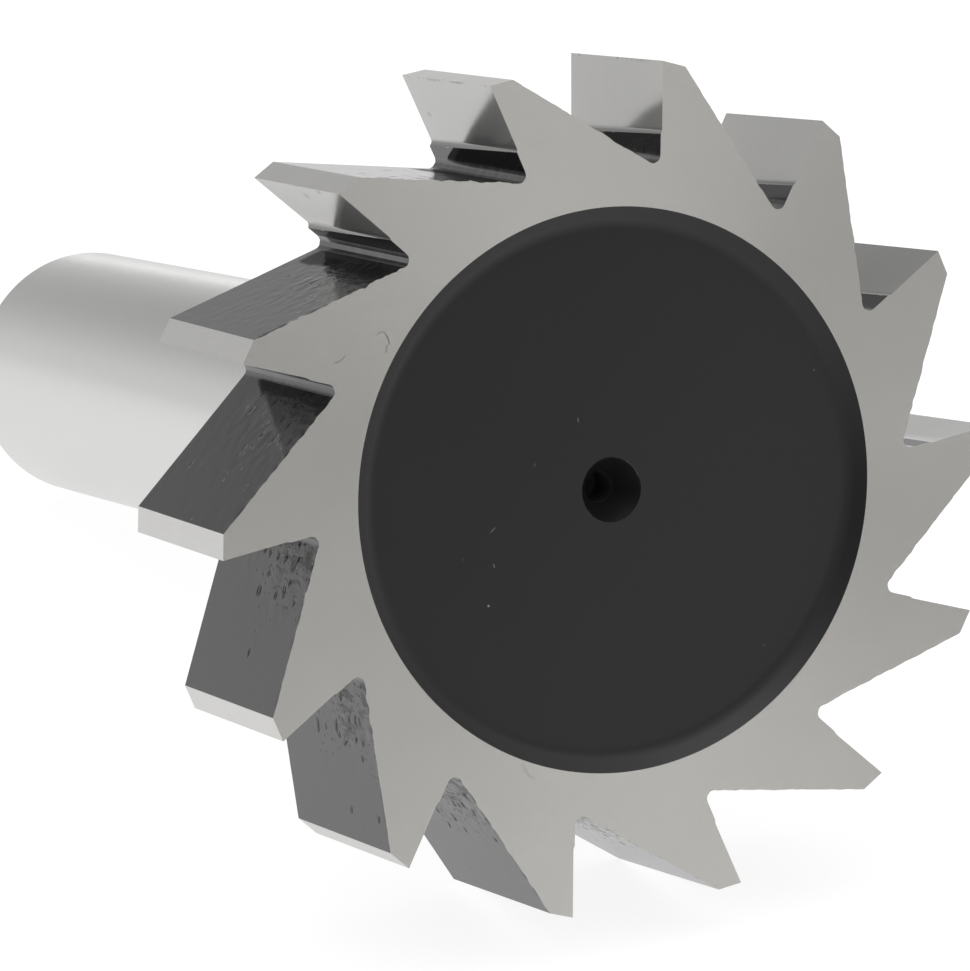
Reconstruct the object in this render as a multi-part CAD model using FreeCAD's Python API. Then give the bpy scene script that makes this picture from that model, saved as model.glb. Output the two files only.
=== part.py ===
import FreeCAD, Part
import math
import os

# Woodruff keyseat cutter, one piece of tool steel: a toothed disc on a plain round shank.
# It is built round the Y axis with its front face at Y = 0, then laid down at rest on two teeth
# and the rim of the shank's end, its front face towards -Y. Millimetres and degrees.

# toothed disc
CUTTER_DIA = 38.1
HEAD_WIDTH = 9.525
TEETH = 14
LAND_WIDTH = 1.15       # flat strip behind each cutting edge
LAND_CLEARANCE = 7.3    # fall of that strip below the tangent
GULLET_DEPTH = 4.73     # from the cutting edge to the unrounded root corner
FACE_LEAN = 5.14        # lean of the whole tooth face behind the radius
GROUND_LEAN = 6.0       # lean of its ground outer part
GROUND_SHARE = 0.655    # how much of the face's depth is ground
ROOT_FILLET = 0.35
TOOTH_TWIST = 0.67      # turn of the rear outline against the front one

# shallow turned recess, the same in both faces of the disc
RECESS_MOUTH_R = 12.58
RECESS_FLOOR_R = 11.87
RECESS_DEPTH = 0.6

# neck and shank
OVERALL_LENGTH = 62.5
SHANK_DIA = 12.7
SHANK_CHAMFER = 0.5
NECK_DIA = 12.0
NECK_LENGTH = 9.5       # from the floor of the rear recess
NECK_FILLET = 1.6
NECK_STEP = 0.8         # length of the cone from neck to shank

# centre holes: a cone and a pilot
CENTRE_ANGLE = 60.0
DRILL_POINT = 118.0
FRONT_CENTRE_DIA = 2.84
FRONT_PILOT_DIA = 1.4
FRONT_PILOT_DEPTH = 3.0     # from the recess floor to the end of the full pilot
REAR_CENTRE_DIA = 4.4
REAR_PILOT_DIA = 2.0
REAR_PILOT_DEPTH = 4.6      # from the shank's end

OVERRUN = 1.0           # how far solids run into or past each other where they join or cut
STRAIGHT_DOWN = -90.0

TIP_R = CUTTER_DIA / 2
SHANK_R = SHANK_DIA / 2
NECK_R = NECK_DIA / 2
PITCH = 360.0 / TEETH
REAR_FLOOR = HEAD_WIDTH - RECESS_DEPTH
AXIS = FreeCAD.Vector(0, 1, 0)
CENTRE = FreeCAD.Vector(0, 0, 0)


def polar(radius, angle):
    """A point of the front face; angles run anticlockwise from +X, as seen from the front."""
    a = math.radians(angle)
    return FreeCAD.Vector(radius * math.cos(a), 0, radius * math.sin(a))


def rounded(corner, before, after, radius):
    """The start, middle and end of the arc that rounds a corner."""
    u = (before - corner).normalize()
    v = (after - corner).normalize()
    half = u.getAngle(v) / 2
    reach = radius / math.tan(half)
    middle = corner + (u + v).normalize() * (radius / math.sin(half) - radius)
    return corner + u * reach, middle, corner + v * reach


def tooth(tip_angle):
    """Cutting edge, heel of the land, end of the ground tooth face, and root corner of one tooth."""
    tip = polar(TIP_R, tip_angle)
    inwards = polar(-1, tip_angle)
    trailing = polar(1, tip_angle - 90)
    fall = math.radians(LAND_CLEARANCE)
    heel = tip + (trailing * math.cos(fall) + inwards * math.sin(fall)) * LAND_WIDTH
    ground = inwards + trailing * math.tan(math.radians(GROUND_LEAN))
    whole = inwards + trailing * math.tan(math.radians(FACE_LEAN))
    return tip, heel, tip + ground * (GULLET_DEPTH * GROUND_SHARE), tip + whole * GULLET_DEPTH


def outline(first_tip):
    """The closed outline of the disc: back, root round, two-part tooth face and land of each tooth."""
    teeth = [tooth(first_tip - i * PITCH) for i in range(TEETH)]
    edges = []
    for i, (tip, heel, ground_end, root) in enumerate(teeth):
        back_start = teeth[i - 1][1]
        a, middle, b = rounded(root, back_start, ground_end, ROOT_FILLET)
        edges += [Part.makeLine(back_start, a), Part.Arc(a, middle, b).toShape()]
        edges += [Part.makeLine(b, ground_end), Part.makeLine(ground_end, tip), Part.makeLine(tip, heel)]
    return Part.Wire(edges)


def toothed_disc():
    """The front outline carried back to the rear one, whose two lowest tips straddle the lowest line."""
    rear_tip = STRAIGHT_DOWN + PITCH / 2
    front = outline(rear_tip + TOOTH_TWIST)
    rear = outline(rear_tip)
    rear.translate(AXIS * HEAD_WIDTH)
    return Part.makeLoft([front, rear], True, True)


def turned(edges):
    """A solid turned about the axis from a closed run of edges in the XY plane."""
    return Part.Face(Part.Wire(edges)).revolve(CENTRE, AXIS, 360)


def polyline(points):
    """Edges through points given as radius and distance behind the front face."""
    return list(Part.makePolygon([FreeCAD.Vector(r, y, 0) for r, y in points]).Edges)


def sunk(face, into, steps):
    """A turned hollow in a flat face, running along +Y (into = 1) or -Y (into = -1)."""
    return turned(polyline([(r, face + into * depth) for r, depth in steps + steps[:1]]))


def recess(face, into):
    steps = [(0, -OVERRUN), (RECESS_MOUTH_R, -OVERRUN), (RECESS_MOUTH_R, 0)]
    return sunk(face, into, steps + [(RECESS_FLOOR_R, RECESS_DEPTH), (0, RECESS_DEPTH)])


def centre_hole(face, into, mouth_dia, pilot_dia, pilot_depth):
    slope = math.tan(math.radians(CENTRE_ANGLE / 2))
    mouth, pilot = mouth_dia / 2, pilot_dia / 2
    point = pilot / math.tan(math.radians(DRILL_POINT / 2))
    steps = [(0, -OVERRUN), (mouth + OVERRUN * slope, -OVERRUN), (pilot, (mouth - pilot) / slope)]
    return sunk(face, into, steps + [(pilot, pilot_depth), (0, pilot_depth + point)])


def neck_and_shank():
    """Fillet out of the rear recess, neck, cone up to the shank, and the shank with its chamfer."""
    foot_r = NECK_R + NECK_FILLET
    neck_end = REAR_FLOOR + NECK_LENGTH
    inset = NECK_FILLET * (1 - math.sqrt(0.5))
    arc = [(foot_r, REAR_FLOOR), (NECK_R + inset, REAR_FLOOR + inset), (NECK_R, REAR_FLOOR + NECK_FILLET)]
    fillet = Part.Arc(*[FreeCAD.Vector(r, y, 0) for r, y in arc]).toShape()
    base = [(0, REAR_FLOOR - OVERRUN), (foot_r, REAR_FLOOR - OVERRUN), arc[0]]
    stem = [arc[2], (NECK_R, neck_end - NECK_STEP), (SHANK_R, neck_end)]
    end = [(SHANK_R, OVERALL_LENGTH - SHANK_CHAMFER), (SHANK_R - SHANK_CHAMFER, OVERALL_LENGTH)]
    return turned(polyline(base) + [fillet] + polyline(stem + end + [(0, OVERALL_LENGTH), base[0]]))


def cutter():
    disc = toothed_disc().cut(recess(0, 1)).cut(recess(HEAD_WIDTH, -1))
    front_hole = centre_hole(RECESS_DEPTH, 1, FRONT_CENTRE_DIA, FRONT_PILOT_DIA, FRONT_PILOT_DEPTH)
    rear_hole = centre_hole(OVERALL_LENGTH, -1, REAR_CENTRE_DIA, REAR_PILOT_DIA, REAR_PILOT_DEPTH)
    return disc.fuse(neck_and_shank()).cut(front_hole).cut(rear_hole).Solids[0]


def laid_down(solid):
    """Tips the tool until the shank's rim meets the floor, and centres its box over the origin."""
    tip_drop = TIP_R * math.cos(math.radians(PITCH / 2))
    run = OVERALL_LENGTH - SHANK_CHAMFER - HEAD_WIDTH
    solid.rotate(CENTRE, FreeCAD.Vector(1, 0, 0), -math.degrees(math.atan2(tip_drop - SHANK_R, run)))
    box = solid.optimalBoundingBox(True)
    solid.translate(FreeCAD.Vector(-box.Center.x, -box.Center.y, -box.ZMin))
    return solid


os.makedirs("parts", exist_ok=True)
laid_down(cutter()).exportStep("parts/keyseat_cutter.step")
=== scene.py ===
from math import atan2, cos, degrees, pi, radians, sin, tan

import bpy
from mathutils import Matrix, Vector


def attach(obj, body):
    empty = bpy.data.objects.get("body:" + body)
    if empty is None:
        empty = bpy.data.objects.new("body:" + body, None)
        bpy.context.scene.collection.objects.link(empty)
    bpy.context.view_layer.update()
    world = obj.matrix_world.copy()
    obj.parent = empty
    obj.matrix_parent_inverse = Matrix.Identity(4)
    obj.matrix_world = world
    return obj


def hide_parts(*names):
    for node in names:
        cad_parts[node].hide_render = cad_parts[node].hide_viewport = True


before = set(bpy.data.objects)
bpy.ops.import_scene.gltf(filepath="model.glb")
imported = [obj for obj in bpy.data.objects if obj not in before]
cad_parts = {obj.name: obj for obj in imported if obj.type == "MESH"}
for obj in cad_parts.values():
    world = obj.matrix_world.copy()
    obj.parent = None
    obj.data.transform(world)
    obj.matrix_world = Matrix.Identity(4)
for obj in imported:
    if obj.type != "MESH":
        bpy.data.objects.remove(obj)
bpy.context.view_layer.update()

# Sizes, in millimetres and degrees. The tool is modelled round the Y axis with its front face
# at Y = 0, and laid down at the end.
TEETH = 14
PITCH = 360 / TEETH
TIP_R = 19.05
HEAD_WIDTH = 9.525
TWIST = 0.67                # turn of the rear outline against the front one
REAR_TIP = -90 + PITCH / 2
FRONT_TIP = REAR_TIP + TWIST
LAND_WIDTH, LAND_CLEARANCE = 1.15, 7.3
FACE_LEAN = 5.14            # lean of the tooth face behind the radius
ROOT_FILLET = 0.35
# depth below the tip of the root, of the end of the straight ground face and of the start of the black
# face, how far the ground face is cut in at its end, and how proud the black face stands
FRONT_CUT = dict(root=4.73, ground=2.98, undercut=0.05, black=3.20, proud=0.01)
REAR_CUT = dict(root=4.63, ground=3.22, undercut=0.13, black=3.47, proud=0.05)
ROWS = 72                   # steps across the width of a tooth
BACK_STEPS = 56             # steps down the back of a tooth

RECESS_MOUTH_R, RECESS_FLOOR_R, RECESS_DEPTH = 12.58, 11.87, 0.6
LENGTH = 62.499             # a hair short of the CAD model, whose box it stays inside
SHANK_R, SHANK_CHAMFER = 6.35, 0.5
NECK_R, NECK_END, NECK_FILLET, NECK_STEP = 6.0, 18.425, 1.6, 0.8
# centre holes: radius of mouth and pilot, depth of the cone's end, the pilot's end and the drill's point
FRONT_HOLE = dict(mouth=1.42, pilot=0.7, cone=1.247, end=3.0, point=3.42)
REAR_HOLE = dict(mouth=2.2, pilot=1.0, cone=2.078, end=4.6, point=5.2)
RIM = 0.04                  # width of the broken edge at their mouths
ARC_STEPS = 16              # steps of every turned surface over one tooth

# at rest: two rear teeth and the shank's rim touch the floor
TILT = radians(13.111457)
SHIFT = (0, -0.02898394, 0.02035738)
MM = 0.001


# Finishes
class Flow:
    """A value on its way from node to node. Arithmetic on it adds Math nodes."""

    def __init__(self, finish, socket):
        self.finish, self.socket = finish, socket

    def math(self, operation, *values):
        return self.finish.node("ShaderNodeMath", {"operation": operation}, dict(enumerate(values)))

    def also(self, name):
        """Another output of the same node."""
        return Flow(self.finish, self.socket.node.outputs[name])

    def __add__(self, other):
        return self.math("ADD", self, other)

    def __radd__(self, other):
        return self.math("ADD", other, self)

    def __sub__(self, other):
        return self.math("SUBTRACT", self, other)

    def __rsub__(self, other):
        return self.math("SUBTRACT", other, self)

    def __mul__(self, other):
        return self.math("MULTIPLY", self, other)

    def __rmul__(self, other):
        return self.math("MULTIPLY", other, self)

    def __truediv__(self, other):
        return self.math("DIVIDE", self, other)


class Finish:
    """A node tree being laid out: a material's, or the room's."""

    def __init__(self, owner):
        owner.use_nodes = True
        self.owner, self.tree = owner, owner.node_tree
        self.tree.nodes.clear()

    def node(self, kind, settings=None, sockets=None, out=0):
        node = self.tree.nodes.new(kind)
        for name, value in (settings or {}).items():
            if name == "stops":
                ramp = node.color_ramp
                while len(ramp.elements) < len(value):
                    ramp.elements.new(0.5)
                for element, (place, tone) in zip(ramp.elements, value):
                    element.position = place
                    element.color = grey(tone)
            else:
                setattr(node, name, value)
        for name, value in (sockets or {}).items():
            if isinstance(value, Flow):
                self.tree.links.new(value.socket, node.inputs[name])
            else:
                node.inputs[name].default_value = value
        return Flow(self, node.outputs[out]) if len(node.outputs) else node

    def place(self):
        """The tool's own coordinates in millimetres, with the axis along Y."""
        spot = self.node("ShaderNodeTexCoord", out="Object")
        lay = {"Vector": spot, "Location": SHIFT, "Rotation": (-TILT, 0, 0), "Scale": (MM, MM, MM)}
        return self.node("ShaderNodeMapping", {"vector_type": "TEXTURE"}, lay)

    def vector(self, operation, *values, out=0):
        return self.node("ShaderNodeVectorMath", {"operation": operation}, dict(enumerate(values)), out)

    def stretched(self, vector, scale):
        return self.vector("MULTIPLY", vector, scale)

    def along(self, vector, direction):
        return self.vector("DOT_PRODUCT", vector, direction, out="Value")

    def parts(self, vector):
        x = self.node("ShaderNodeSeparateXYZ", None, {0: vector})
        return x, x.also("Y"), x.also("Z")

    def joined(self, x, y, z):
        return self.node("ShaderNodeCombineXYZ", None, {0: x, 1: y, 2: z})

    def radius(self, vector):
        return self.vector("LENGTH", self.stretched(vector, (1, 0, 1)), out="Value")

    def on_tooth(self, spot, first):
        """The same spot on the front line of the first tooth: how deep below its tip it lies and how far
        behind, its distance from the front, and the number of its tooth, counted from an angle."""
        x, y, z = self.parts(spot)
        untwisted = z.math("ARCTAN2", z, x) + y * radians(TWIST / HEAD_WIDTH)
        count = z.math("FLOOR", (radians(first) - untwisted) / radians(PITCH))
        turn = count * -radians(PITCH) - y * radians(TWIST / HEAD_WIDTH)
        about_y = {"rotation_type": "Y_AXIS"}
        there = self.node("ShaderNodeVectorRotate", about_y, {"Vector": spot, "Angle": turn})
        depth = TIP_R - self.along(there, polar(1, FRONT_TIP))
        behind = self.along(there, polar(1, FRONT_TIP - 90))
        return depth, behind, y, count.math("FLOORED_MODULO", count, TEETH)

    def from_tooth(self, count, first):
        """1 on the teeth from a number upwards."""
        return self.fade(count, first - 0.6, first - 0.4)

    def on_teeth(self, count, first, last):
        return self.from_tooth(count, first) * self.fade(count, last + 0.6, last + 0.4)

    def grain(self, vector, scale=1.0, detail=2.0, rough=0.5, warp=0.0):
        return self.node("ShaderNodeTexNoise", None,
                         {"Vector": vector, "Scale": scale, "Detail": detail, "Roughness": rough,
                          "Distortion": warp})

    def rings(self, distance, pitch):
        """Fine grooves, a pitch apart, that follow one distance, such as the one from the axis."""
        return distance.math("SINE", distance * (2 * pi / pitch))

    def scattered(self, vector, share):
        """The way from the middle of a scattered dot, or far more where its cell is left empty."""
        flat = {"voronoi_dimensions": "2D"}
        near = self.node("ShaderNodeTexVoronoi", flat, {"Vector": vector, "Scale": 1.0})
        chance = self.parts(near.also("Color"))[0]
        way = self.vector("SUBTRACT", self.stretched(vector, (1, 1, 0)), near.also("Position"))
        return self.vector("MULTIPLY", way, 1 + 20 * chance.math("GREATER_THAN", chance, share))

    def placed(self, vector, place, halves, lean=0.0):
        """The way from the middle of one mark, counted in its half sizes along and across its lean."""
        return self.node("ShaderNodeMapping", {"vector_type": "TEXTURE"},
                         {"Vector": vector, "Location": place, "Rotation": (0, 0, radians(lean)),
                          "Scale": (*halves, 1)})

    def blot(self, way, size=1.0):
        """A soft round mark: 1 at its middle, 0 from a size outwards."""
        return self.fade(self.vector("LENGTH", way, out="Value"), size, size * 0.3)

    def pit(self, way, size=1.0):
        """A pit, and the painted shade on its wall that faces away from the front."""
        far = self.vector("LENGTH", way, out="Value")
        side = self.parts(way)[1]
        wall = self.fade(far, size, size * 0.55) * self.fade(side, size * 0.15, size * -0.35)
        return self.fade(far, size, size * 0.2), wall

    def hair(self, spot, centre, radius, low, high, width):
        """A thin curved mark on the front side: a stretch of a circle between two angles."""
        middle, reach = radians((low + high) / 2), sin(radians((high - low) / 2))
        from_centre = self.vector("SUBTRACT", spot, centre)
        x, y, z = self.parts(from_centre)
        off = self.radius(from_centre) - radius
        aside = (z * cos(middle) - x * sin(middle)) / radius
        ahead = x * cos(middle) + z * sin(middle)
        line = self.fade(off.math("ABSOLUTE", off), width, width * 0.3) * self.fade(ahead, 0.0, 0.02)
        stretch = self.fade(aside.math("ABSOLUTE", aside), reach, reach * 0.7)
        return line * stretch * self.fade(y, 0.1, 0.05)

    def fade(self, value, low, high, at_low=0.0, at_high=1.0):
        """Runs smoothly from one number to another while a value goes from low to high."""
        smooth = {"interpolation_type": "SMOOTHSTEP"}
        ends = {"From Min": low, "From Max": high, "To Min": at_low, "To Max": at_high}
        return self.node("ShaderNodeMapRange", smooth, {"Value": value, **ends})

    def mixed(self, share, one, other):
        return self.node("ShaderNodeMix", {"data_type": "RGBA"}, {0: share, 6: one, 7: other}, 2)

    def dented(self, height, depth, step=0.1):
        """Dents of a depth in millimetres; fine ones are felt out in small steps."""
        sockets = {"Height": height, "Distance": depth * MM, "Filter Width": step}
        return self.node("ShaderNodeBump", None, sockets)

    def shader(self, **sockets):
        named = {name.replace("_", " "): value for name, value in sockets.items()}
        return self.node("ShaderNodeBsdfPrincipled", None, named)

    def surface(self, shader=None, **sockets):
        self.node("ShaderNodeOutputMaterial", None, {"Surface": shader or self.shader(**sockets)})
        return self.owner

    def dulled(self, share, shiny, dull):
        """A surface that is part shiny, part dull."""
        return self.surface(self.node("ShaderNodeMixShader", None, {0: share, 1: shiny, 2: dull}))


def new_finish(name):
    return Finish(bpy.data.materials.new(name))


def grey(value, warm=0.0):
    return (value * (1 + 0.4 * warm), value, value * (1 - warm), 1)


def polar(radius, angle):
    """A point of the front face; angles run anticlockwise from +X, as seen from the front."""
    return Vector((radius * cos(radians(angle)), 0, radius * sin(radians(angle))))


def side_ground():
    f = new_finish("side_ground")
    spot = f.place()
    cloud = f.grain(spot, 0.35, 3)
    r = f.radius(spot)
    r = r + 0.01 * f.grain(spot, 6, 2)
    lay = f.rings(r, 0.0113) + 0.8 * f.rings(r, 0.0081)
    tone = f.mixed(cloud, grey(0.70, 0.05), grey(0.74, 0.05))
    for x, z, radius, low, high, width, strength in SIDE_HAIRS:
        line = f.hair(spot, Vector((x, 0, z)), radius, low, high, width)
        tone = f.mixed(strength * line, tone, grey(0.2))
    rough = 0.2 + 0.05 * cloud
    return f.surface(Base_Color=tone, Metallic=1.0, Roughness=rough, Normal=f.dented(lay, 0.0005, 0.02))


# thin marks on the front side: centre, radius, the angles between which they run, width and strength
SIDE_HAIRS = [
    (-10.67, 8.33, 0.237, 5, 172, 0.045, 0.35),
    (-11.27, 7.96, 0.925, -2, 34, 0.045, 0.7),
    (-6.39, 6.71, 4.254, 162.5, 168, 0.06, 0.35),
    (-13.03, 8.31, 0.776, -93, -38, 0.05, 0.35),
    (-4.8, -11.27, 0.97, 178, 245, 0.11, 0.12),
]


def land_ground():
    f = new_finish("land_ground")
    spot = f.place()
    lines = f.grain(f.stretched(spot, (9, 0.8, 9)), 1.0, 2, 0.6)
    cloud = f.grain(spot, 0.8, 2)
    tone = f.mixed(lines, grey(0.75, 0.02), grey(0.81, 0.02))
    bump = f.dented(lines, 0.003)
    return f.surface(Base_Color=tone, Metallic=1.0, Roughness=0.30 + 0.08 * cloud, Normal=bump)


# degrees from a tip at which the count of teeth steps on: ahead of the face, or behind it on the land
FACE_SEAM, BACK_SEAM = 5, 2.6
# steps in the patterns from tooth to tooth, so that no two teeth are alike
FACE_APART, BACK_APART = 13.7, 17.3


def black_border(y):
    """How deep below the tip the black starts, which changes across the tooth."""
    return FRONT_CUT["black"] + y * ((REAR_CUT["black"] - FRONT_CUT["black"]) / HEAD_WIDTH)


# marks on the tooth faces: number of the tooth, depth below its tip, distance from the front, half sizes
# down and across, and strength
FACE_MARKS = [
    (6, 0.74, 4.96, 0.25, 0.35, 0.6),
    (6, 0.2, 2.63, 0.16, 0.35, 0.6),
    (7, 1.9, 8.39, 0.2, 0.3, 0.25),
    (7, 0.05, 6.29, 0.12, 0.9, 0.35),
    (7, 0.03, 3.6, 0.1, 1.1, 0.5),
    (8, 0.05, 2.1, 0.15, 1.2, 0.15),
]


def face_ground():
    f = new_finish("tooth_face_ground")
    depth, _, y, count = f.on_tooth(f.place(), FRONT_TIP + FACE_SEAM)
    lie = f.joined(depth, y, count * FACE_APART)
    streaks = f.grain(f.stretched(lie, (0.3, 5, 1)), 1.0, 3, 0.6)
    cloud = f.grain(lie, 0.6, 2)
    stains = 0.0
    for tooth_number, down, from_front, half_down, half_across, strength in FACE_MARKS:
        way = f.placed(lie, (down, from_front, tooth_number * FACE_APART), (half_down, half_across))
        stains = strength * f.blot(way) + stains
    chips = f.fade(f.grain(f.stretched(lie, (1, 2.4, 1)), 1.0, 3, 0.6), 0.54, 0.66)
    chipped = f.fade(depth - 0.1 * chips, 0.03, 0.0)
    tone = f.mixed(streaks, grey(0.63, 0.02), grey(0.67, 0.02))
    # painted shade: the faces of two teeth are darkened to stand in for the darker surroundings they
    # mirror
    tone = f.mixed(0.27 * f.on_teeth(count, 10, 11), tone, grey(0))
    tone = f.mixed(stains * (0.5 + cloud), tone, grey(0.2))
    tone = f.mixed(0.4 * chipped * chips, tone, grey(0.1))
    tone = f.mixed(f.fade(depth - black_border(y), -0.35, -0.1), tone, grey(0.3, 0.02))
    rough = 0.10 + 0.04 * cloud + 0.2 * stains
    return f.surface(Base_Color=tone, Metallic=0.70, Roughness=rough, Normal=f.dented(streaks, 0.0007))


def gullet_black():
    f = new_finish("gullet_black")
    depth, _, y, count = f.on_tooth(f.place(), FRONT_TIP + FACE_SEAM)
    lie = f.joined(depth, y, count * FACE_APART)
    ridges = f.grain(f.stretched(lie, (3, 0.6, 1)), 1, 3, 0.5)
    wave = f.grain(f.stretched(lie, (0, 1.1, 1)), 1, 3, 0.6)
    steel = f.fade(depth - black_border(y) - 0.5 * (wave - 0.58), 0.012, -0.012)
    tone = f.mixed(steel, f.mixed(ridges, grey(0.004), grey(0.014)), grey(0.66, 0.02))
    bump = f.dented(ridges, 0.0015)
    rough = 0.05 + 0.03 * ridges
    shiny = f.shader(Base_Color=tone, Metallic=steel * 0.70, Roughness=rough, Normal=bump, IOR=1.7)
    dull = f.shader(Base_Color=grey(0.012), Metallic=0.0, Roughness=0.7, IOR=1.3)
    # a dull, dark patch on the black face of one tooth
    dull_patch = f.on_teeth(count, 6, 6) * (0.6 + 0.3 * wave) * (1 - steel)
    return f.dulled(dull_patch, shiny, dull)


def root_black():
    f = new_finish("root_black")
    depth, _, y, count = f.on_tooth(f.place(), FRONT_TIP + FACE_SEAM)
    lie = f.joined(depth, y, count * FACE_APART)
    ticks = f.grain(f.stretched(lie, (0.3, 1.7, 1)), 1, 4, 0.7)
    tone = f.mixed(f.fade(ticks, 0.4, 0.62), grey(0.035), grey(0.09))
    rough = 0.14 + 0.08 * ticks
    bump = f.dented(ticks, 0.003)
    return f.surface(Base_Color=tone, Metallic=0.0, Roughness=rough, Normal=bump, IOR=2.0)


# the largest pits on the backs: number of the tooth, distance from its root and from the front, half sizes
# up and across, and lean. Many more than these would make the finish too big for the renderer.
BACK_PITS = [
    (4, 2.73, 2.39, 0.45, 0.2, 15),
    (4, 3.69, 4.29, 0.32, 0.14, 12),
    (4, 5.06, 7.96, 0.24, 0.15, 20),
    (3, 0.75, 5.15, 0.4, 0.22, 10),
    (3, 1.13, 1.89, 0.35, 0.22, 8),
    (3, 2.64, 4.69, 0.36, 0.26, 4),
    (3, 2.3, 2.21, 0.36, 0.2, -6),
    (2, 2.76, 5.77, 0.55, 0.16, 12),
    (2, 2.45, 3.77, 0.5, 0.17, 15),
    (2, 3.12, 3.07, 0.36, 0.2, 38),
    (1, 3.02, 4.13, 0.3, 0.2, 15),
    (1, 2.15, 1.22, 0.3, 0.16, 10),
]


def back_black():
    f = new_finish("back_black")
    spot = f.place()
    depth, behind, y, count = f.on_tooth(spot, FRONT_TIP - BACK_SEAM)
    down = (depth - BACK_HEEL[0]) * BACK_RUN[0] + (behind - BACK_HEEL[1]) * BACK_RUN[1]
    up = BACK_LENGTH - down
    lie = f.joined(up, y, count * BACK_APART)
    cloud = f.grain(spot, 0.6, 3)
    patch = 4 * (f.grain(lie, 0.5, 2) - 0.5)
    # the backs are worst near the root and the front, and on some teeth all along the front
    worst = f.fade(up + patch, 4.7, 1.8) * f.fade(y + 1.5 * patch, 7.5, 3.5)
    along_front = f.from_tooth(count, 6) * f.fade(y, 4.0, 1.0) * f.fade(up, 8.0, 6.5)
    worst = worst.math("MAXIMUM", worst, 0.5 * along_front)
    near_root = f.fade(up + patch, 3.2, 1.2)
    # pits with ragged outlines: the coordinates are bent, first widely, then finely
    bent = f.vector("ADD", lie, f.stretched(f.grain(lie, 1.6, 3).also("Color"), (0.3, 0.3, 0)))
    bent = f.vector("SUBTRACT", bent, (0.15, 0.15, 0))
    ragged = f.vector("ADD", bent, f.stretched(f.grain(lie, 7, 3).also("Color"), (0.12, 0.12, 0)))
    apart = f.joined(up + count * BACK_APART, y, 0)
    apart = f.vector("ADD", apart, f.vector("SUBTRACT", ragged, lie))
    # pits, and the painted shade on their walls
    pits = pit_shade = 0.0
    for tooth_number, from_root, from_front, half_up, half_across, lean in BACK_PITS:
        place = (from_root, from_front, tooth_number * BACK_APART)
        way = f.placed(ragged, place, (half_up, half_across), lean)
        pit, wall = f.pit(way)
        pits, pit_shade = pit.math("MAXIMUM", pit, pits), wall.math("MAXIMUM", wall, pit_shade)
    large = f.scattered(f.stretched(apart, (1.1, 1.8, 0)), 0.006 + 0.33 * worst)
    more_pits, more_pit_shade = f.pit(large, 0.28)
    pits, pit_shade = pits.math("MAXIMUM", pits, more_pits), pit_shade.math("MAXIMUM", pit_shade, more_pit_shade)
    small = f.scattered(f.stretched(apart, (2.7, 3.8, 0)), 0.004 + 0.40 * worst)
    small_pits, small_pit_shade = f.pit(small, 0.28)
    bands = f.grain(f.stretched(bent, (3.2, 0.8, 1)), 1, 3, 0.6)
    # painted shade in the wavy bands of relief near the root
    band_shade = f.fade(bands, 0.5, 0.4) * near_root * f.fade(y, 4.5, 2.5)
    fine = f.grain(lie, 9, 3, 0.6)
    height = worst * near_root * 0.8 * bands - pits - 0.5 * small_pits + 0.015 * fine
    tone = f.mixed(cloud, grey(0.008), grey(0.016))
    rough = 0.07 + 0.06 * cloud
    bump = f.dented(height, 0.045)
    oxide = f.shader(Base_Color=tone, Metallic=0.0, Roughness=rough, Normal=bump, IOR=2.0)
    shadowed = f.shader(Base_Color=grey(0.008), Metallic=0.0, Roughness=0.7, IOR=1.3)
    # painted dark reflection: a dull patch by the root of three teeth, which reaches further up towards
    # the front, stands in for the dark faces that the glossy backs mirror there
    reach = y.math("MAXIMUM", 3.4 - 0.42 * y, 1.2 * f.from_tooth(count, 5))
    dull_patch = f.fade(up - reach + 0.3 * patch, 0.15, -0.15) * f.fade(y + 0.3 * patch, 9.0, 8.5)
    dull_patch = dull_patch * f.on_teeth(count, 4, 6) * f.fade(up, 3.0, 0.5, 0.5, 0.75)
    # the painted shade in pits and bands, and the painted dark reflection, mix the backs towards the dull
    # shader
    dark = (0.9 * pit_shade + 0.4 * small_pit_shade + 0.35 * band_shade) * (1 - dull_patch) + dull_patch
    return f.dulled(dark, oxide, shadowed)


def recess_black():
    f = new_finish("recess_black")
    spot = f.place()
    x, y, z = f.parts(spot)
    cloud = f.grain(spot, 0.25, 2)
    fine = f.grain(spot, 22, 2, 0.6)
    tone = f.mixed(cloud, grey(0.018), grey(0.0195))
    # painted light: the recess grows lighter along +X and -Z
    tone = f.mixed(f.fade(f.along(spot, (0.8, 0, -0.6)), -10, 8), tone, grey(0.026))
    wall = f.fade(f.radius(spot), RECESS_FLOOR_R + 0.05, RECESS_FLOOR_R + 0.3)
    # painted light: the recess wall is lighter towards -X and +Z and darker on the other side
    wall_painted_light = f.mixed(f.fade(f.along(spot, (-1, 0, 0.4)), -3, 12), grey(0.0175), grey(0.044))
    tone = f.mixed(wall, tone, wall_painted_light)
    flat = f.joined(x, z, 0)
    for right, up, half_long, half_wide, lean, value in RECESS_DUST:
        speck = f.blot(f.placed(flat, (right, up, 0), (half_long, half_wide), lean))
        tone = f.mixed(speck * f.fade(y, 1.0, 0.8), tone, grey(value))
    rough = 0.34 + 0.08 * cloud
    bump = f.dented(fine, 0.003)
    return f.surface(Base_Color=tone, Metallic=0.0, Roughness=rough, Normal=bump, IOR=1.5)


def shank_ground():
    f = new_finish("shank_ground")
    spot = f.place()
    rings = f.grain(f.stretched(spot, (0.12, 16, 0.12)), 1.0, 3, 0.6)
    cloud = f.grain(f.stretched(spot, (0.3, 0.2, 0.3)), 1.0, 3)
    tone = f.mixed(rings, grey(0.76, 0.015), grey(0.82, 0.015))
    bump = f.dented(rings, 0.003)
    return f.surface(Base_Color=tone, Metallic=1.0, Roughness=0.13 + 0.08 * cloud, Normal=bump)


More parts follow.
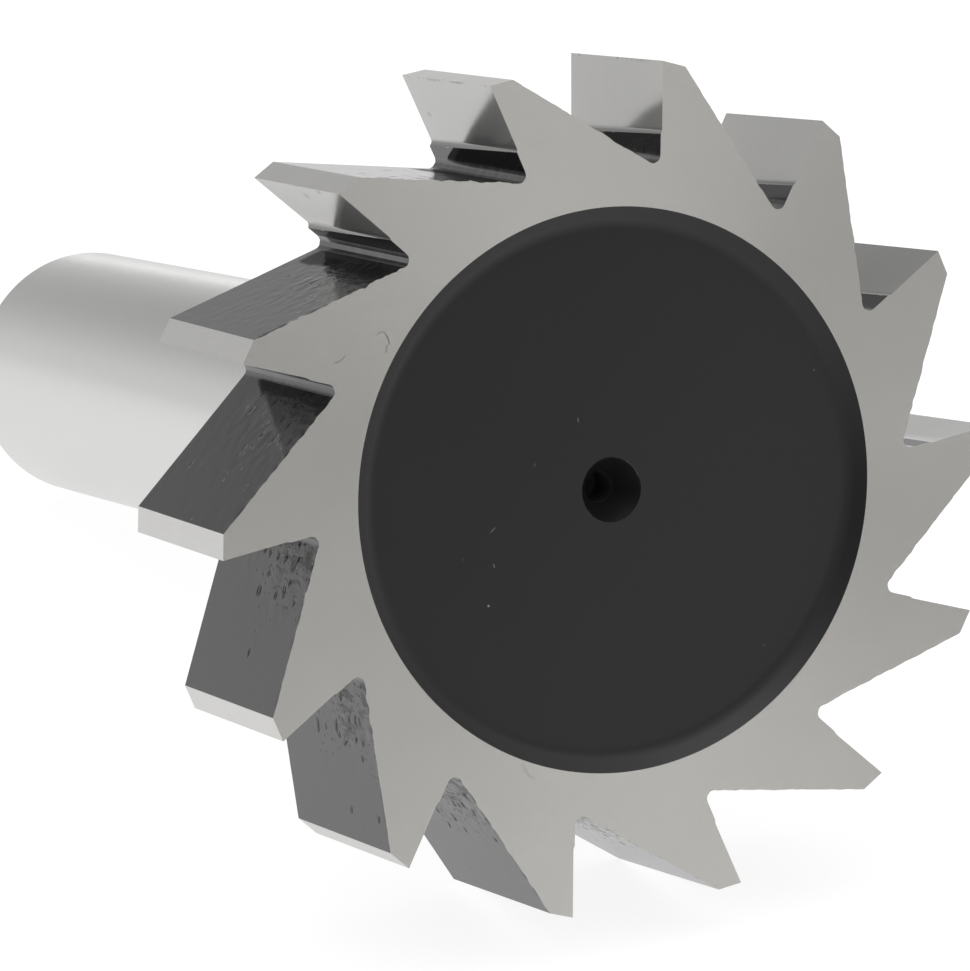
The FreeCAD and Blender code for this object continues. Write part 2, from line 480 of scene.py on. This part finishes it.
def neck_black():
    f = new_finish("neck_black")
    spot = f.place()
    rings = f.grain(f.stretched(spot, (0.15, 5, 0.15)), 1.0, 3, 0.6)
    tone = f.mixed(rings, grey(0.025), grey(0.05))
    bump = f.dented(rings, 0.02)
    return f.surface(Base_Color=tone, Metallic=0.0, Roughness=0.35 + 0.1 * rings, Normal=bump, IOR=1.6)


def turned_black():
    f = new_finish("turned_black")
    spot = f.place()
    rings = f.grain(f.stretched(spot, (0.3, 9, 0.3)), 1.0, 3, 0.6)
    tone = f.mixed(rings, grey(0.03), grey(0.06))
    return f.surface(Base_Color=tone, Metallic=0.0, Roughness=0.3, Normal=f.dented(rings, 0.01), IOR=1.9)


def bore_black():
    f = new_finish("bore_black")
    spot = f.place()
    rings = f.grain(f.stretched(spot, (0.3, 9, 0.3)), 1.0, 3, 0.6)
    y = f.parts(spot)[1]
    upper_right = f.fade(f.along(spot, (0.72, 0, 0.69)) + f.grain(spot, 2, 2), 1.4, 2.0)
    mouth_r, cone_end = FRONT_HOLE["mouth"], 1.85
    # wear and a painted highlight: the broken edge at the mouth is lighter at its upper right
    worn_and_lit_rim = f.fade(f.radius(spot), mouth_r - 0.02, mouth_r + 0.02) * upper_right
    # painted light: the deeper part of the hole, from the middle of the cone down the pilot, is made
    # lighter
    tone = f.mixed(f.fade(y, 0.9, cone_end), f.mixed(rings, grey(0.007), grey(0.011)), grey(0.02))
    tone = f.mixed(f.fade(y, cone_end - 0.01, cone_end + 0.01), tone, grey(0.09))
    tone = f.mixed(worn_and_lit_rim, tone, grey(0.12))
    bump = f.dented(rings, 0.005)
    return f.surface(Base_Color=tone, Metallic=0.0, Roughness=0.5, Normal=bump, IOR=1.25)


# specks and short hairs of dust on the floor of the front recess: place, half sizes, lean and tone
RECESS_DUST = [
    (-1.34, 3.32, 0.16, 0.04, 92, 0.2),
    (-3.63, 1.64, 0.17, 0.04, 50, 0.1),
    (-5.94, -0.92, 0.28, 0.05, 35, 0.14),
    (-6.04, -2.51, 0.14, 0.05, 100, 0.2),
    (-6.48, -4.23, 0.08, 0.07, 0, 0.4),
    (-7.5, -2.0, 0.12, 0.04, 60, 0.07),
    (10.58, 3.88, 0.09, 0.05, 0, 0.15),
    (6.9, -8.1, 0.06, 0.06, 0, 0.1),
]


# Modelling by hand
def select_only(*pieces):
    bpy.ops.object.select_all(action="DESELECT")
    for piece in pieces:
        piece.select_set(True)
    bpy.context.view_layer.objects.active = pieces[0]


def edit(select="SELECT"):
    bpy.ops.object.mode_set(mode="EDIT")
    bpy.ops.mesh.select_all(action=select)


def done():
    bpy.ops.object.mode_set(mode="OBJECT")
    return bpy.context.object


def finished_in(piece, finish):
    piece.data.materials.clear()
    piece.data.materials.append(finish)
    return piece


def wire(points):
    """A line drawn from point to point: a plane is merged to one vertex, which is then extruded."""
    bpy.ops.object.select_all(action="DESELECT")
    bpy.ops.mesh.primitive_plane_add(size=1)
    bpy.ops.object.mode_set(mode="EDIT")
    bpy.ops.mesh.merge(type="CENTER")
    bpy.ops.transform.translate(value=points[0])
    for here, there in zip(points, points[1:]):
        bpy.ops.mesh.extrude_region_move(TRANSFORM_OT_translate={"value": there - here})
    return done()


def strip(front, rear, finish):
    """A surface across the tooth, bridged from a line on its front side to one on its rear side."""
    select_only(wire(front), wire(rear))
    bpy.ops.object.join()
    edit()
    bpy.ops.mesh.bridge_edge_loops(number_cuts=ROWS - 1, interpolation="LINEAR")
    return finished_in(done(), finish)


def turned(profile, start, finish):
    """A surface turned about the tool's axis from points given as radius and distance from the front."""
    piece = wire([Vector((r, y, 0)) for r, y in profile])
    piece.rotation_euler.y = -radians(start)
    bpy.ops.object.transform_apply(location=False, rotation=True, scale=False)
    edit()
    bpy.ops.mesh.spin(steps=TEETH * ARC_STEPS, angle=2 * pi, center=(0, 0, 0), axis=(0, 1, 0))
    return finished_in(done(), finish)


def welded(*pieces):
    select_only(*pieces)
    bpy.ops.object.join()
    edit()
    bpy.ops.mesh.remove_doubles(threshold=0.002)
    return done()


def pick(elements, chosen):
    """Selects the vertices, edges or faces that a test names, and goes into edit mode on them."""
    edit("DESELECT")
    done()
    for element in elements:
        element.select = chosen(element)
    bpy.ops.object.mode_set(mode="EDIT")


# The line round one tooth
def divided(start, end, steps):
    return [start.lerp(end, i / steps) for i in range(steps + 1)]


def rounded(corner, before, after, radius, shares=(0, 0.19, 0.345, 0.655, 0.81, 1)):
    """Points of the arc that rounds a corner, with one wide facet in its middle."""
    u, v = (before - corner).normalized(), (after - corner).normalized()
    half = u.angle(v) / 2
    centre = corner + (u + v).normalized() * (radius / sin(half))
    reach = radius / tan(half)
    a, b = corner + u * reach - centre, corner + v * reach - centre
    turn = a.angle(b)
    return [centre + (a * sin(turn * (1 - t)) + b * sin(turn * t)) / sin(turn) for t in shares]


def wheel_corner(start, end, tip, steps):
    """Points of the curve that the grinding wheel's corner leaves, flowing into the ground face."""
    reach = (end - start).length * 0.5
    handle = end + (end - tip).normalized() * reach
    shares = [i / steps for i in range(steps + 1)]
    return [start.lerp(handle, t).lerp(handle.lerp(end, t), t) for t in shares]


def tooth_lines(tip_angle, y, root, ground, undercut, black, proud):
    """The lines round one tooth: root round, black face, step, ground face, land and back."""
    lift = Vector((0, y, 0))
    inwards, trailing = polar(-1, tip_angle), polar(1, tip_angle - 90)
    lean = tan(radians(FACE_LEAN))

    def spot(depth, into=0.0):
        return polar(TIP_R, tip_angle) + inwards * depth + trailing * (depth * lean + into) + lift

    tip = spot(0)
    fall = radians(LAND_CLEARANCE)
    heel = tip + (trailing * cos(fall) + inwards * sin(fall)) * LAND_WIDTH
    corner = spot(root)
    to_next = Matrix.Rotation(radians(PITCH), 3, "Y")
    to_last = Matrix.Rotation(-radians(PITCH), 3, "Y")
    black_top, ground_end = spot(black, -proud), spot(ground, undercut)
    fillet = rounded(corner, to_last @ heel, black_top, ROOT_FILLET)
    return {
        "root": fillet,
        "black": divided(fillet[-1], black_top, 4),
        "step": wheel_corner(black_top, ground_end, tip, 5),
        "ground": divided(ground_end, tip, 4),
        "land": divided(tip, heel, 2),
        "back": divided(heel, to_next @ fillet[0], BACK_STEPS),
    }


def angle_of(point):
    return degrees(atan2(point.z, point.x))


front_lines = tooth_lines(FRONT_TIP, 0, **FRONT_CUT)
rear_lines = tooth_lines(REAR_TIP, HEAD_WIDTH, **REAR_CUT)

# the front line of the back, as depth below the tip and distance behind it
heel, foot_of_back = front_lines["back"][0], front_lines["back"][-1]
BACK_LENGTH = (foot_of_back - heel).length
BACK_HEEL = (TIP_R - heel.dot(polar(1, FRONT_TIP)), heel.dot(polar(1, FRONT_TIP - 90)))
run = (foot_of_back - heel) / BACK_LENGTH
BACK_RUN = (-run.dot(polar(1, FRONT_TIP)), run.dot(polar(1, FRONT_TIP - 90)))

tooth_face = face_ground()
finishes = {"root": root_black(), "black": gullet_black(), "step": tooth_face, "ground": tooth_face,
            "land": land_ground(), "back": back_black()}
strips = {part: strip(front_lines[part], rear_lines[part], finishes[part]) for part in front_lines}

# the back is torn most near its root and along its front edge, and sound where it meets root and land
torn = strips["back"].vertex_groups.new(name="torn")
for vertex in strips["back"].data.vertices:
    untwisted = Matrix.Rotation(radians(-TWIST * vertex.co.y / HEAD_WIDTH), 3, "Y") @ vertex.co
    up = BACK_LENGTH - (untwisted - heel).xz.length
    ends = min(1, max(0, up / 0.25)) * min(1, max(0, (BACK_LENGTH - up) / 0.4))
    worst = min(1, max(0, (5 - up) / 3)) * min(1, max(0, (7.5 - vertex.co.y) / 4))
    edge = max(0, 1 - vertex.co.y / 0.14)
    torn.add([vertex.index], ends * (0.02 + 0.07 * worst + edge * (0.25 + 0.2 * worst)), "REPLACE")


def mouth(lines):
    """Closes the line round a tooth along the mouth of the recess, from its back to its root."""
    last, first = lines["back"][-1], lines["root"][0]
    lift = Vector((0, first.y, 0))
    angles = [angle_of(first) - PITCH * (1 - i / ARC_STEPS) for i in range(ARC_STEPS + 1)]
    return wire([last] + [polar(RECESS_MOUTH_R, angle) + lift for angle in angles] + [first])


tooth = welded(*strips.values(), mouth(front_lines), mouth(rear_lines))
tooth.data.materials.append(side_ground())
MOST_TORN = (5, 6)          # numbers of the teeth whose backs are torn most
clouds = bpy.data.textures.new("torn_steel", "CLOUDS")
clouds.noise_scale, clouds.noise_depth = 0.5, 2
teeth = []
for k in range(TEETH):
    select_only(tooth)
    if k < TEETH - 1:
        bpy.ops.object.duplicate()
    piece = bpy.context.object
    piece.rotation_euler.y = radians(PITCH * k)
    bpy.ops.object.transform_apply(location=False, rotation=True, scale=False)
    relief = piece.modifiers.new("relief", "DISPLACE")
    relief.texture, relief.texture_coords, relief.vertex_group = clouds, "LOCAL", "torn"
    relief.strength, relief.mid_level = 0.5 if k in MOST_TORN else 0.3, 0.5
    bpy.ops.object.modifier_apply(modifier="relief")
    piece.active_material_index = len(piece.data.materials) - 1
    for y in (0, HEAD_WIDTH):
        pick(piece.data.vertices, lambda vertex: abs(vertex.co.y - y) < 0.002)
        bpy.ops.mesh.select_mode(type="EDGE")
        bpy.ops.mesh.edge_face_add()
        bpy.ops.object.material_slot_assign()
        bpy.ops.mesh.select_mode(type="VERT")
        done()
    teeth.append(piece)

front_start, rear_start = angle_of(front_lines["root"][0]), angle_of(rear_lines["root"][0])
recess, bore, rear_bore = recess_black(), bore_black(), turned_black()
shank, neck = shank_ground(), neck_black()


# Lines that are turned about the axis, as radius and distance from the front
def sunk(mouth_y, floor_y):
    """The wall of a recess and the soft corner at its foot."""
    corner = Vector((RECESS_FLOOR_R, floor_y))
    on_wall = corner.lerp(Vector((RECESS_MOUTH_R, mouth_y)), 0.35)
    on_floor = corner - Vector((0.35, 0))
    bend = [on_wall.lerp(corner, i / 6).lerp(corner.lerp(on_floor, i / 6), i / 6) for i in range(7)]
    return [(RECESS_MOUTH_R, mouth_y)] + [tuple(point) for point in bend]


def centre_hole(face, into, mouth, pilot, cone, end, point):
    """A centre hole that runs backwards from its face (into = 1) or forwards (into = -1)."""
    opening = [(mouth + RIM, face), (mouth, face + into * RIM), (pilot, face + into * cone)]
    return opening + [(pilot, face + into * end), (0, face + into * point)]


floor_y = HEAD_WIDTH - RECESS_DEPTH
front_hole = centre_hole(RECESS_DEPTH, 1, **FRONT_HOLE)
rear_hole = centre_hole(LENGTH, -1, **REAR_HOLE)
foot = [(NECK_R + NECK_FILLET * (1 - sin(a)), floor_y + NECK_FILLET * (1 - cos(a)))
        for a in [pi / 2 * i / 8 for i in range(9)]]
ground_start = (SHANK_R - 0.03, NECK_END - 0.07)
ground_run = LENGTH - SHANK_CHAMFER - NECK_END
turnings = [
    turned(sunk(0, RECESS_DEPTH) + front_hole[:1], front_start, recess),
    turned(front_hole, front_start, bore),
    turned(sunk(HEAD_WIDTH, floor_y) + foot[:1], rear_start, recess),
    turned(foot + [(NECK_R, NECK_END - NECK_STEP), ground_start], rear_start, neck),
    turned([ground_start] + [(SHANK_R, NECK_END + ground_run * i / 12) for i in range(13)]
           + [(SHANK_R - SHANK_CHAMFER, LENGTH), rear_hole[0]], rear_start, shank),
    turned(rear_hole, rear_start, rear_bore),
]
cutter = welded(*teeth, *turnings)
cutter.name = cutter.data.name = "cutter"
edit()
bpy.ops.mesh.normals_make_consistent(inside=False)
done()

# laid down at rest, in metres
cutter.scale = (MM, MM, MM)
cutter.rotation_euler.x = -TILT
cutter.location = SHIFT
bpy.ops.object.transform_apply(location=True, rotation=True, scale=True)
bpy.ops.object.shade_smooth_by_angle(angle=radians(22))

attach(cutter, "root")
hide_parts("keyseat_cutter")


# Floor, room, lamp and camera
def seen_and_mirrored(f):
    """1 where a ray comes straight from the camera, and 1 where it comes by way of a mirror or glass."""
    camera = f.node("ShaderNodeLightPath", out="Is Camera Ray")
    return camera, camera.also("Is Glossy Ray") + camera.also("Is Transmission Ray")


bpy.ops.object.select_all(action="DESELECT")
bpy.ops.mesh.primitive_circle_add(vertices=96, radius=0.9, fill_type="NGON")
floor = bpy.context.object
floor.name = "floor"
f = new_finish("floor_paper")
spot = f.node("ShaderNodeTexCoord", out="Object")
paper = f.mixed(f.grain(spot, 60, 3), grey(0.80), grey(0.84))
matt = f.node("ShaderNodeBsdfDiffuse", None, {"Color": paper})
seen, mirrored = seen_and_mirrored(f)
east, north, _ = f.parts(spot)
away = f.vector("LENGTH", spot, out="Value")
front_left = f.fade(-0.8 * east - 0.6 * north, 0.0, 0.2)
behind_right = f.fade(0.45 * east + 0.9 * north, 0.08, 0.2) * f.fade(east, -0.05, 0.03)
far_right = f.fade(0.9 * east + 0.4 * north, 0.1, 0.2)
lit = f.fade(away, 0.03, 0.15, 0.89, 0.68) + 0.25 * behind_right + 0.35 * far_right
lit = lit * (1 - 0.6 * front_left)
glow = f.node("ShaderNodeEmission", None, {"Color": grey(1), "Strength": seen * 1.25 + mirrored * lit})
both = f.node("ShaderNodeMixShader", None, {0: seen * 0.71 + mirrored * 0.85, 1: matt, 2: glow})
f.node("ShaderNodeOutputMaterial", None, {"Surface": both})
finished_in(floor, f.owner)

room = bpy.data.worlds.new("room")
bpy.context.scene.world = room
f = Finish(room)
east, north, height = f.parts(f.node("ShaderNodeTexCoord", out="Generated"))
# tone of the room from a little below the horizon to overhead, by elevation
ROOM_TONES = [(-16, 0.80), (-10, 0.78), (-2, 0.70), (4, 0.57),
              (10, 0.43), (17, 0.22), (38, 0.75), (60, 0.85)]
stops = [(sin(radians(elevation)) / 2 + 0.5, tone) for elevation, tone in ROOM_TONES]
sky = f.node("ShaderNodeValToRGB", {"stops": stops}, {"Fac": height * 0.5 + 0.5})
shade = f.fade(-0.8 * east - 0.6 * north, 0.1, 0.9, 1.0, 0.4) * f.fade(-1 * north, 0.2, 0.9, 1.0, 0.82)
tone = f.mixed(seen_and_mirrored(f)[0], f.mixed(shade, grey(0), sky), grey(1))
background = f.node("ShaderNodeBackground", None, {"Color": tone, "Strength": 1.0})
f.node("ShaderNodeOutputWorld", None, {"Surface": background})

softbox = bpy.data.lights.new("top_softbox", "AREA")
softbox.shape, softbox.size, softbox.energy = "DISK", 0.9, 1.7
lamp = bpy.data.objects.new("top_softbox", softbox)
bpy.context.scene.collection.objects.link(lamp)
lamp.location = (-0.1, 0.05, 0.7)
lamp.rotation_euler = (lamp.location - Vector((0, 0, 0.01))).to_track_quat("Z", "Y").to_euler()

view = bpy.data.cameras.new("camera")
view.lens, view.sensor_width, view.sensor_fit = 230.115, 36, "AUTO"
view.clip_start, view.clip_end = 0.01, 20
camera = bpy.data.objects.new("camera", view)
bpy.context.scene.collection.objects.link(camera)
# where the camera's right, its top and its back point, and its place
view_axes = Matrix(((0.8975935679, -0.4406666632, 0.0117761960),
                    (0.1457003728, 0.3217778927, 0.9355374868),
                    (-0.4160495021, -0.8380166345, 0.3530310639)))
camera.matrix_world = (Matrix.Translation((-0.11918729, -0.25587894, 0.11722073))
                       @ view_axes.transposed().to_4x4())
bpy.context.scene.camera = camera
bpy.context.scene.view_settings.view_transform = "Standard"
